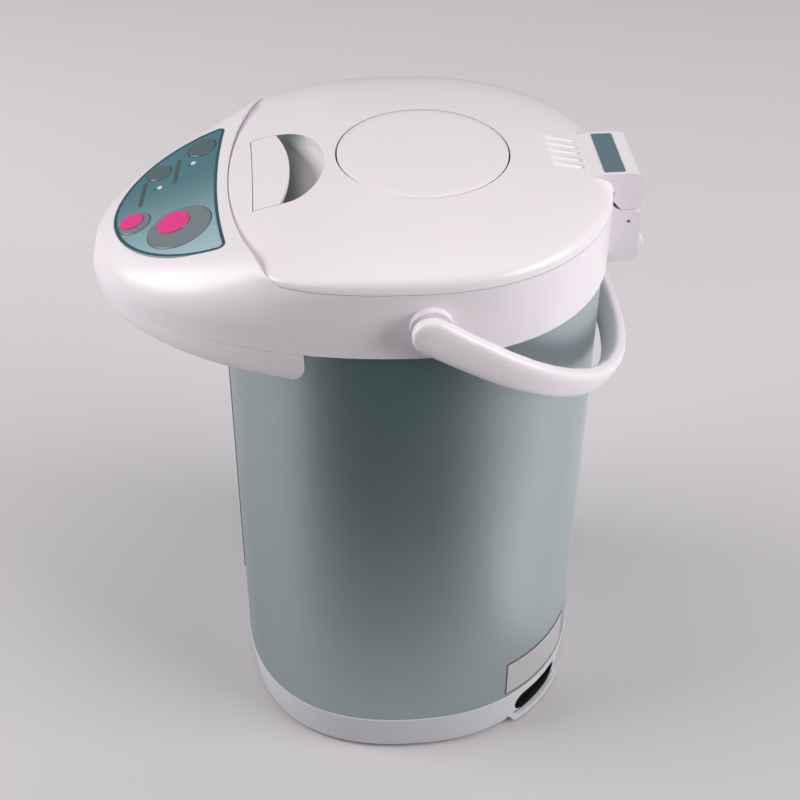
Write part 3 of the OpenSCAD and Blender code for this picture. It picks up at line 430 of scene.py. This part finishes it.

# %% [markdown]
# ## The finger scoop's painted shade
# The scoop narrows under the lever, and the shade that falls on its wall there is painted in as a darker,
# greener grey, a painted shade that fades out towards the open side. The faces below the dome inside the
# scoop's outline take a finish that runs from the painted shade's grey to the white along the pot's length.

# %% Paint shade into the scoop
SCOOP_MIDDLE, SCOOP_HALF_WIDTH, SCOOP_LENGTH = -61 * MM, 31.2 * MM, 20.8 * MM
SCOOP_FRONT, SCOOP_TOP = SCOOP_MIDDLE - 1.2 * MM, SEAM_Z + 11 * MM
SHADE_FROM, SHADE_TO = -58 * MM, -43 * MM
FACING_DOWN = -0.2
# This grey is painted shade: the shade that falls on the scoop's wall under the lever.
SCOOP_PAINTED_SHADE = srgb(112, 122, 121)
lid = bpy.data.objects["lid_cover_skin"]
painted_scoop_shade = finish_of("scoop_painted_shade", SCOOP_PAINTED_SHADE, WHITE, gloss=(0.34, 0.42), bump=0.03)
scoop_tree = painted_scoop_shade.node_tree
painted_shade_share = fade(scoop_tree, object_axes(scoop_tree)["Y"], SHADE_FROM, SHADE_TO, 0.0, 1.0)
mix_into_base(scoop_tree, painted_shade_share, SCOOP_PAINTED_SHADE, WHITE)
lid.data.materials.append(painted_scoop_shade)
# The scoop's faces below the dome take the painted shade.
scoop_faces = 0
for face in lid.data.polygons:
    x, y, z = face.center
    inside = (x / SCOOP_HALF_WIDTH) ** 2 + ((y - SCOOP_MIDDLE) / SCOOP_LENGTH) ** 2 < 1.0
    if inside and y > SCOOP_FRONT and z < SCOOP_TOP and face.normal.z > FACING_DOWN:
        face.material_index = 1
        scoop_faces += 1
print("shaded faces in the scoop:", scoop_faces)

# %% [markdown]
# ## The mouth of the cord inlet
# The short tunnel through the base ring is painted black, a painted shade for the deep recess in front of
# the black socket, and turns white on the lip that stands out under it. The finish does this by the
# distance from the pot's axis. The bottom cover's inner side is painted dark too, a painted shade, so that
# nothing pale shows behind the opening.

# %% Paint shade into the inlet's tunnel
INLET_TURN = math.radians(47)
TUNNEL_START, TUNNEL_END, TUNNEL_HALF_WIDTH = 60 * MM, 99 * MM, 19.3 * MM
TUNNEL_LOW, TUNNEL_HIGH = 5.2 * MM, 20.8 * MM
BLACK_WITHIN, WHITE_BEYOND = 94.4 * MM, 95.0 * MM
COVER_INSIDE = 4.4 * MM
ALONG_TUNNEL, FACING_UP = 0.45, 0.9
inlet_out = Vector((math.cos(INLET_TURN), math.sin(INLET_TURN), 0))
inlet_across = Vector((-math.sin(INLET_TURN), math.cos(INLET_TURN), 0))
# The black is painted shade on the tunnel's walls, turning to the ring's grey on the lip.
painted_tunnel_shade = finish_of("painted_tunnel_shade", BLACK, BASE_GREY, gloss=(0.45, 0.55), bump=0.03)
tree = painted_tunnel_shade.node_tree
flat = tree.nodes.new("ShaderNodeVectorMath")
flat.operation = "MULTIPLY"
flat.inputs[1].default_value = (1, 1, 0)
tree.links.new(tree.nodes["Texture Coordinate"].outputs["Object"], flat.inputs[0])
distance = tree.nodes.new("ShaderNodeVectorMath")
distance.operation = "LENGTH"
tree.links.new(flat.outputs["Vector"], distance.inputs[0])
tunnel_shade_share = fade(tree, distance.outputs["Value"], BLACK_WITHIN, WHITE_BEYOND, 0.0, 1.0)
mix_into_base(tree, tunnel_shade_share, BLACK, BASE_GREY)

ring = bpy.data.objects["base_ring_skin"]
ring.data.materials.append(painted_tunnel_shade)
tunnel_faces = 0
for face in ring.data.polygons:
    out, across, high = face.center.dot(inlet_out), face.center.dot(inlet_across), face.center.z
    in_bar = abs(across) < TUNNEL_HALF_WIDTH and TUNNEL_LOW < high < TUNNEL_HIGH
    if in_bar and TUNNEL_START < out < TUNNEL_END and abs(face.normal.dot(inlet_out)) < ALONG_TUNNEL:
        face.material_index = 1
        tunnel_faces += 1
# The cover's upward inner faces are painted black: painted shade behind the inlet's opening.
cover = bpy.data.objects["bottom_cover_skin"]
cover.data.materials.append(black_moulding)
for face in cover.data.polygons:
    if face.normal.z > FACING_UP and face.center.z > COVER_INSIDE:
        face.material_index = 1
print("black faces in the inlet's tunnel:", tunnel_faces)

# %% [markdown]
# ## The metal body
# The body is a sheet of painted metal rolled round the pot. Its paint has fine flakes, so it mirrors the
# room in broad soft bands. A metallic shader with a middle roughness gives those bands.

# %% Dress the body and its window
dressed("body_shell", satin_body, corner=20)
dressed("window_frame", grey_moulding, corner=20, bevel=0.15)
dressed("level_window", clear_moulding, corner=20)

# %% [markdown]
# ## The pieces inside
# Most of these show only when the lid stands open or the pot is taken apart, but each gets the finish
# of what it really is: brushed steel for the pot, silicone for the seals, felt for the jacket.

# %% Dress the inner pieces
inner_finishes = {
    "inner_pot": stainless, "inner_lid": stainless, "pot_seal": silicone, "lid_gasket": silicone,
    "pump_bellows": silicone, "riser_tube": silicone, "spout_pipe": silicone,
    "spout_nozzle": grey_moulding, "steam_valve": milky_moulding, "pump_housing": milky_moulding,
    "pump_motor": plated_steel, "press_spring": plated_steel, "latch_spring": plated_steel,
    "latch_pin": plated_steel, "hinge_pin": plated_steel, "lid_screws": plated_steel,
    "base_screws": plated_steel, "inlet_pins": brass, "inlet_socket": black_moulding,
    "thermostat": black_moulding, "key_switches": black_moulding, "foot_ring": rubber,
    "pot_cradle": heat_moulding, "insulation_jacket": felt, "heater_band": mica,
    "power_board": board_lacquer, "key_board": board_lacquer,
}
for node, finish in inner_finishes.items():
    dressed(node, finish)

# %% [markdown]
# ## The key panel
# The panel is one film, printed on its back. Its teal is deepest on the far side and fades towards the
# near one, so its finish mixes two tones along the pot's width instead of in clouds.

# %% Dress the panel
FAR_TEAL, NEAR_TEAL = srgb(80, 118, 127), srgb(162, 188, 195)
FAR_END, NEAR_END = -25 * MM, 60 * MM
panel_film = finish_of("panel_film", FAR_TEAL, NEAR_TEAL, gloss=EVEN_GLOSS, bump=0.01)
film = panel_film.node_tree
mix_into_base(film, fade(film, object_axes(film)["X"], FAR_END, NEAR_END, 0.0, 1.0), FAR_TEAL, NEAR_TEAL)
panel = dressed("control_panel", panel_film, corner=20)

# %% [markdown]
# ## The panel's rim
# A dark line is printed round the panel's edge. Its outline is already there: the edges where the flat
# top meets the film's outer wall. A filled circle with as many points as that outline is laid on it, an
# inset draws the line's inner side, and what is left inside is taken away.

# %% Print the rim
RIM = 1.5 * MM
RIM_FOOT, RIM_HEIGHT, RIM_SHARE = 0.02, 0.05, 0.998
FACING_OUT = 0.99
FILM_EDGE_DEPTH, HOLE_MARGIN = 0.05, 1.2
# The film's holes for four keys and two lamps: across, up and radius, in millimetres
HOLES = ((24.7, -23.2, 15.8), (8.9, -46.2, 8), (-40.2, -12.5, 7.3), (-29.8, -34.7, 6.2),
         (-16.3, -34.2, 1.3), (-28.6, -17, 1.3))
top_edges = {}
for face in panel.data.polygons:
    side = "top" if face.normal.dot(panel_w) > FACING_OUT else "wall"
    for edge in face.edge_keys:
        top_edges.setdefault(edge, set()).add(side)
corner_points = {i for edge, sides in top_edges.items() if len(sides) == 2 for i in edge}
outline = []
for index in corner_points:
    u, v, w = panel_coordinates(panel.data.vertices[index].co)
    to_hole = min(math.hypot(u - across, v - along) - radius for across, along, radius in HOLES)
    if w > -FILM_EDGE_DEPTH and to_hole > HOLE_MARGIN:
        outline.append((u, v))
middle = (sum(u for u, v in outline) / len(outline), sum(v for u, v in outline) / len(outline))
outline.sort(key=lambda point: math.atan2(point[1] - middle[1], point[0] - middle[0]))

bpy.ops.mesh.primitive_circle_add(vertices=len(outline), radius=1, fill_type="NGON")
rim = bpy.context.object
rim.name = "panel_rim"
by_angle = sorted(rim.data.vertices, key=lambda vertex: math.atan2(vertex.co.y, vertex.co.x))
for vertex, (u, v) in zip(by_angle, outline):
    vertex.co = on_panel(u * RIM_SHARE, v * RIM_SHARE, RIM_FOOT)
bpy.ops.object.mode_set(mode="EDIT")
bpy.ops.mesh.select_mode(type="FACE")
bpy.ops.mesh.select_all(action="SELECT")
bpy.ops.mesh.inset(thickness=RIM, depth=0)
bpy.ops.mesh.delete(type="FACE")
bpy.ops.mesh.select_all(action="SELECT")
bpy.ops.mesh.extrude_region_move(TRANSFORM_OT_translate={"value": panel_w * RIM_HEIGHT * MM})
bpy.ops.mesh.select_all(action="SELECT")
bpy.ops.mesh.normals_make_consistent(inside=False)
bpy.ops.object.mode_set(mode="OBJECT")
rim.data.materials.append(panel_border)
settle(rim, "pot")
print("panel rim:", len(outline), "points,", len(rim.data.polygons), "faces")

# %% [markdown]
# ## The keys
# Each key is a round grey button, and two of them carry a magenta disc set off centre. The disc's faces
# are found by their height above the key, so the colour follows the moulded step.

# %% Dress the keys
DISC_TOP, DISC_SIDE, DISC_INSET = 0.52, 0.42, 0.2
for node, film_colour, disc in (("dispense_key", key_grey, (20.5, -26.1, 8.0)),
                                ("unlock_key", key_grey, (7.4, -47.6, 5.8)),
                                ("boil_key", key_dark_grey, None), ("keep_warm_key", key_dark_grey, None)):
    key = dressed(node, film_colour, bevel=0.12)
    if disc:
        key.data.materials.append(key_magenta)
        for face in key.data.polygons:
            u, v, w = panel_coordinates(face.center)
            within_disc = math.hypot(u - disc[0], v - disc[1]) < disc[2] - DISC_INSET
            raised = w > DISC_TOP or (w > DISC_SIDE and within_disc)
            face.material_index = 1 if raised else 0
dressed("led_lenses", lamp_lens, bevel=0.1)


# %% [markdown]
# ## Prints on the panel
# Beside the keys the film has two short dark bars and two small dots. They are very thin inks, modelled
# as flat plates a twentieth of a millimetre high with rounded ends. A round primitive is cut in half by
# moving one half of its points along, which turns a disc into a bar.

# %% Print the bars and dots
INK_FOOT, INK_HEIGHT = 0.005, 0.05
BAR_WIDTH, DOT_WIDTH = 2.2, 1.5


def ink(name, start, end, width):
    """A bar with round ends that lies on the panel film."""
    bpy.ops.mesh.primitive_circle_add(vertices=32, radius=width / 2, fill_type="NGON")
    bar = bpy.context.object
    bar.name = name
    direction = Vector((end[0] - start[0], end[1] - start[1]))
    bpy.ops.object.mode_set(mode="EDIT")
    bpy.ops.mesh.extrude_region_move(TRANSFORM_OT_translate={"value": (0, 0, INK_HEIGHT)})
    bpy.ops.object.mode_set(mode="OBJECT")
    for vertex in bar.data.vertices:
        flat = Vector(vertex.co[:2])
        shift = Vector(end) if direction.length == 0 or flat.dot(direction) > 0 else Vector(start)
        vertex.co = on_panel(flat.x + shift.x, flat.y + shift.y, vertex.co.z + INK_FOOT)
    only(bar)
    bpy.ops.object.mode_set(mode="EDIT")
    bpy.ops.mesh.select_all(action="SELECT")
    bpy.ops.mesh.normals_make_consistent(inside=False)
    bpy.ops.object.mode_set(mode="OBJECT")
    bar.data.materials.append(panel_print)
    return settle(bar, "pot")


ink("panel_bar_upper", (-35.0, -24.5), (-16.6, -26.4), BAR_WIDTH)
ink("panel_bar_lower", (-24.0, -41.9), (-6.0, -43.9), BAR_WIDTH)
ink("panel_dot_upper", (-27.9, -18.8), (-27.9, -18.8), DOT_WIDTH)
ink("panel_dot_lower", (-15.7, -36.8), (-15.7, -36.8), DOT_WIDTH)
print("panel prints: 2 bars, 2 dots")

# %% [markdown]
# ## Two bare plates
# A narrow teal plate is glued to the flat top of the hinge block, and a pale one follows the curve of
# the body above the cord inlet. Both are left without words. The first is a cube pressed flat with
# rounded corners. The second starts as a grid, so that it has enough points to bend round the body.

# %% The plate on the hinge block
HINGE_PLATE_Y, HINGE_PLATE_SIZE = 94.45 * MM, (36 * MM, 10.1 * MM, 0.3 * MM)
HINGE_PLATE_CORNER, HINGE_PLATE_EDGE = 0.8 * MM, 0.06 * MM
UPRIGHT_RISE = 0.1 * MM
bpy.ops.mesh.primitive_cube_add(size=1, location=(0, HINGE_PLATE_Y, CAP_TOP_Z + 0.1 * MM))
hinge_plate = bpy.context.object
hinge_plate.name = "hinge_plate"
hinge_plate.scale = HINGE_PLATE_SIZE
bpy.ops.object.transform_apply(location=False, rotation=False, scale=True)
bpy.ops.object.mode_set(mode="EDIT")
bpy.ops.mesh.select_mode(type="EDGE")
bpy.ops.mesh.select_all(action="DESELECT")
bpy.ops.object.mode_set(mode="OBJECT")
for edge in hinge_plate.data.edges:
    a, b = (hinge_plate.data.vertices[i].co for i in edge.vertices)
    edge.select = abs(a.z - b.z) > UPRIGHT_RISE
bpy.ops.object.mode_set(mode="EDIT")
bpy.ops.mesh.bevel(offset=HINGE_PLATE_CORNER, segments=4)
bpy.ops.object.mode_set(mode="OBJECT")
apply_modifier(hinge_plate, "BEVEL", width=HINGE_PLATE_EDGE, segments=1, limit_method="ANGLE",
               angle_limit=SHARP_CORNER)
hinge_plate.data.materials.append(
    finish_of("teal_plate", srgb(96, 118, 124), srgb(92, 113, 119), gloss=(0.3, 0.4)))
settle(hinge_plate, "lid")
print("hinge plate", [round(1000 * s, 1) for s in hinge_plate.dimensions])

# %% The plate on the body
bpy.ops.mesh.primitive_grid_add(x_subdivisions=28, y_subdivisions=2, size=1)
body_plate = bpy.context.object
body_plate.name = "body_plate"
PLATE_FROM, PLATE_TO = math.radians(30.3), math.radians(62.5)
PLATE_LOW, PLATE_HIGH = 28.2 * MM, 52.8 * MM
PLATE_BORDER, PLATE_THICKNESS = 0.7 * MM, 0.12 * MM
for vertex in body_plate.data.vertices:
    angle = PLATE_FROM + (PLATE_TO - PLATE_FROM) * (vertex.co.x + 0.5)
    radius = body_radius(angle, 0.05 * MM)
    height = PLATE_LOW + (PLATE_HIGH - PLATE_LOW) * (vertex.co.y + 0.5)
    vertex.co = (radius * math.cos(angle), radius * math.sin(angle), height)
only(body_plate)
bpy.ops.object.mode_set(mode="EDIT")
bpy.ops.mesh.select_all(action="SELECT")
bpy.ops.mesh.normals_make_consistent(inside=False)
bpy.ops.object.mode_set(mode="OBJECT")
outward = body_plate.data.polygons[0].normal.dot(body_plate.data.polygons[0].center) > 0
body_plate.data.materials.append(
    finish_of("silver_plate", srgb(198, 197, 198), srgb(192, 191, 192), gloss=(0.35, 0.45), metallic=0.4))
body_plate.data.materials.append(
    finish_of("plate_border_print", srgb(104, 60, 66), srgb(98, 56, 62), gloss=(0.35, 0.45)))
only(body_plate)
bpy.ops.object.mode_set(mode="EDIT")
bpy.ops.mesh.select_mode(type="FACE")
bpy.ops.mesh.select_all(action="SELECT")
bpy.ops.mesh.inset(thickness=PLATE_BORDER, depth=0)
bpy.ops.mesh.select_all(action="INVERT")
bpy.ops.object.mode_set(mode="OBJECT")
for face in body_plate.data.polygons:
    face.material_index = 1 if face.select else 0
apply_modifier(body_plate, "SOLIDIFY", thickness=PLATE_THICKNESS, offset=1 if outward else -1)
only(body_plate)
bpy.ops.object.shade_smooth_by_angle(angle=math.radians(30))
settle(body_plate, "pot")
print("body plate", len(body_plate.data.polygons), "faces, outward", outward)

# %% [markdown]
# ## The floor
# A large pale sheet of paper, a little lilac. Its far end is painted lighter, painted light as where a real
# sheet sweeps up towards the lamps, and its near end is painted darker, painted shade, so its tone changes
# slowly along the view. It is part of the stage and not of the pot.

# %% Lay the floor
# The near tone is painted shade and the far tone painted light on the paper.
NEAR_PAPER_PAINTED_SHADE, FAR_PAPER_PAINTED_LIGHT = srgb(189, 186, 189), srgb(238, 233, 237)
PAPER_NEAR_X, PAPER_FAR_X = 0.45, -1.0
bpy.ops.mesh.primitive_plane_add(size=6, location=(0, 0, 0))
floor = bpy.context.object
floor.name = "floor"
paper = finish_of("paper", NEAR_PAPER_PAINTED_SHADE, FAR_PAPER_PAINTED_LIGHT, gloss=(0.6, 0.7), patch=0.8, fineness=400, bump=0.02,
                  Specular_IOR_Level=0.2)
paper_painted_light_share = fade(paper.node_tree, object_axes(paper.node_tree)["X"], PAPER_NEAR_X, PAPER_FAR_X, 0.0, 1.0)
mix_into_base(paper.node_tree, paper_painted_light_share, NEAR_PAPER_PAINTED_SHADE, FAR_PAPER_PAINTED_LIGHT)
floor.data.materials.append(paper)

# %% [markdown]
# ## A dark card
# Metal shows what it mirrors. On the camera's side the studio is dark beyond the paper, and the dark band
# in the middle of the body is a painted reflection of it: a card on the floor there, which only mirrored
# rays see, gives the band without dimming anything else. Its colour fades into the paper's tone towards its
# sides and towards the pot, a painted falloff, so the painted reflection has no edge.

# %% Lay the dark card
CARD_MIDDLE_Y, FAN_START = -0.1, 0.05
PRINT_FROM_X, PRINT_FULL_X = 0.06, 0.33
FAN_INNER, FAN_OUTER = 0.29, 1.35


def sheet(name, place, size, turn=(0, 0, 0)):
    """A flat sheet in the studio, with its place put into the mesh."""
    bpy.ops.mesh.primitive_plane_add(size=1, location=place, rotation=turn)
    plane = bpy.context.object
    plane.name = name
    plane.scale = (*size, 1)
    bpy.ops.object.transform_apply(location=True, rotation=True, scale=True)
    return plane


def show_in_mirrors_only(plane):
    """Hide a sheet from all but mirrored rays."""
    for switch in ("visible_camera", "visible_diffuse", "visible_shadow", "visible_transmission"):
        setattr(plane, switch, False)


card = sheet("dark_card", (0.66, CARD_MIDDLE_Y, 0.5 * MM), (1.2, 1.3))
# The card's tones paint the dark reflection band on the metal body.
CARD_TONE, PAPER_TONE = srgb(22, 60, 60), srgb(196, 192, 195)
painted_reflection_card = finish_of("painted_reflection_card", CARD_TONE, PAPER_TONE, gloss=(0.9, 0.95))
tree = painted_reflection_card.node_tree
axes = object_axes(tree)
aside = math_node(tree, "SUBTRACT", None, CARD_MIDDLE_Y)
aside_width = math_node(tree, "ABSOLUTE")
reach = math_node(tree, "ADD", None, FAN_START)
slant = math_node(tree, "DIVIDE")
share = math_node(tree, "MULTIPLY")
tree.links.new(axes["Y"], aside.inputs[0])
tree.links.new(aside.outputs[0], aside_width.inputs[0])
tree.links.new(axes["X"], reach.inputs[0])
tree.links.new(aside_width.outputs[0], slant.inputs[0])
tree.links.new(reach.outputs[0], slant.inputs[1])
tree.links.new(fade(tree, axes["X"], PRINT_FROM_X, PRINT_FULL_X, 0.0, 1.0), share.inputs[0])
tree.links.new(fade(tree, slant.outputs[0], FAN_INNER, FAN_OUTER, 1.0, 0.0), share.inputs[1])
mix_into_base(tree, share.outputs[0], PAPER_TONE, CARD_TONE)
card.data.materials.append(painted_reflection_card)
show_in_mirrors_only(card)

# %% [markdown]
# ## A white card
# The body's right side mirrors the floor beside the pot. A white card lies there, again for mirrored
# rays alone, and makes the pale streak along that side, a painted reflection.

# %% Lay the white card
# The white card paints the pale reflected streak on the body's right side.
white_card = sheet("white_card", (-0.07, 0.37, 0.8 * MM), (0.5, 0.5))
white_card.data.materials.append(
    finish_of("white_card_painted_reflection", srgb(252, 248, 250), srgb(250, 246, 248), gloss=(0.9, 0.95)))
show_in_mirrors_only(white_card)

# %% [markdown]
# ## A black flag
# Behind the camera stands a black cloth. It keeps the walls' light off the pot's near side, so that the
# parts that face down and forwards fall into soft shade.

# %% Stand up the flag
flag = sheet("black_flag", (1.25, 0, 0.5), (0.98, 2.2), turn=(0, math.pi / 2, 0))
flag.data.materials.append(finish_of("flag_cloth", srgb(14, 16, 16), srgb(18, 20, 20), gloss=(0.9, 0.95)))
flag.visible_camera = False
flag.visible_shadow = False

# %% [markdown]
# ## Light
# Two wide soft boxes stand left and right of the pot and a third hangs over it. The world adds the soft
# light that the walls of a white studio send back.

# %% Hang the lights
POT_MIDDLE = Vector((0, 0, 0.2))


def soft_box(name, place, size, power):
    """A rectangular lamp that faces the pot, with its size in metres and its power in watts."""
    light = bpy.data.lights.new(name, "AREA")
    light.shape = "RECTANGLE"
    light.size, light.size_y = size
    light.energy = power
    lamp = bpy.data.objects.new(name, light)
    bpy.context.scene.collection.objects.link(lamp)
    lamp.location = place
    lamp.rotation_euler = (POT_MIDDLE - Vector(place)).to_track_quat("-Z", "Y").to_euler()


soft_box("left_box", (0.0, -1.25, 0.85), (0.9, 0.7), 14.5)
soft_box("right_box", (0.6, 1.12, 0.8), (0.9, 0.7), 15.5)
soft_box("top_box", (0.12, 0.1, 1.7), (1.6, 1.4), 7.4)

ROOM_TINT, ROOM_LIGHT = (1.0, 0.97, 0.985, 1), 0.2
world = bpy.data.worlds.new("studio")
bpy.context.scene.world = world
world.use_nodes = True
background = world.node_tree.nodes["Background"]
background.inputs["Color"].default_value = ROOM_TINT
background.inputs["Strength"].default_value = ROOM_LIGHT

# %% [markdown]
# ## The camera
# It looks down on the pot's right side from a little in front of its middle, through a 69 mm lens.

# %% Set the camera
AZIMUTH, ELEVATION, ROLL = math.radians(84.40), math.radians(39.363), math.radians(0.503)
DISTANCE = 812.25 * MM
LENS, SENSOR_WIDTH = 68.77, 36
AIM = Vector((0, -3.895 * MM, 175.76 * MM))
back = Vector((math.sin(AZIMUTH) * math.cos(ELEVATION), -math.cos(AZIMUTH) * math.cos(ELEVATION),
               math.sin(ELEVATION)))
right = Vector((math.cos(AZIMUTH), math.sin(AZIMUTH), 0))
up = back.cross(right)
row_right = right * math.cos(ROLL) + up * math.sin(ROLL)
row_up = -right * math.sin(ROLL) + up * math.cos(ROLL)
camera_data = bpy.data.cameras.new("camera")
camera_data.lens = LENS
camera_data.sensor_width = SENSOR_WIDTH
camera = bpy.data.objects.new("camera", camera_data)
bpy.context.scene.collection.objects.link(camera)
camera.matrix_world = (Matrix.Translation(AIM + back * DISTANCE)
                       @ Matrix((row_right, row_up, back)).transposed().to_4x4())
bpy.context.scene.camera = camera
bpy.context.scene.view_settings.view_transform = "Standard"
print("camera at", [round(1000 * c) for c in camera.location])
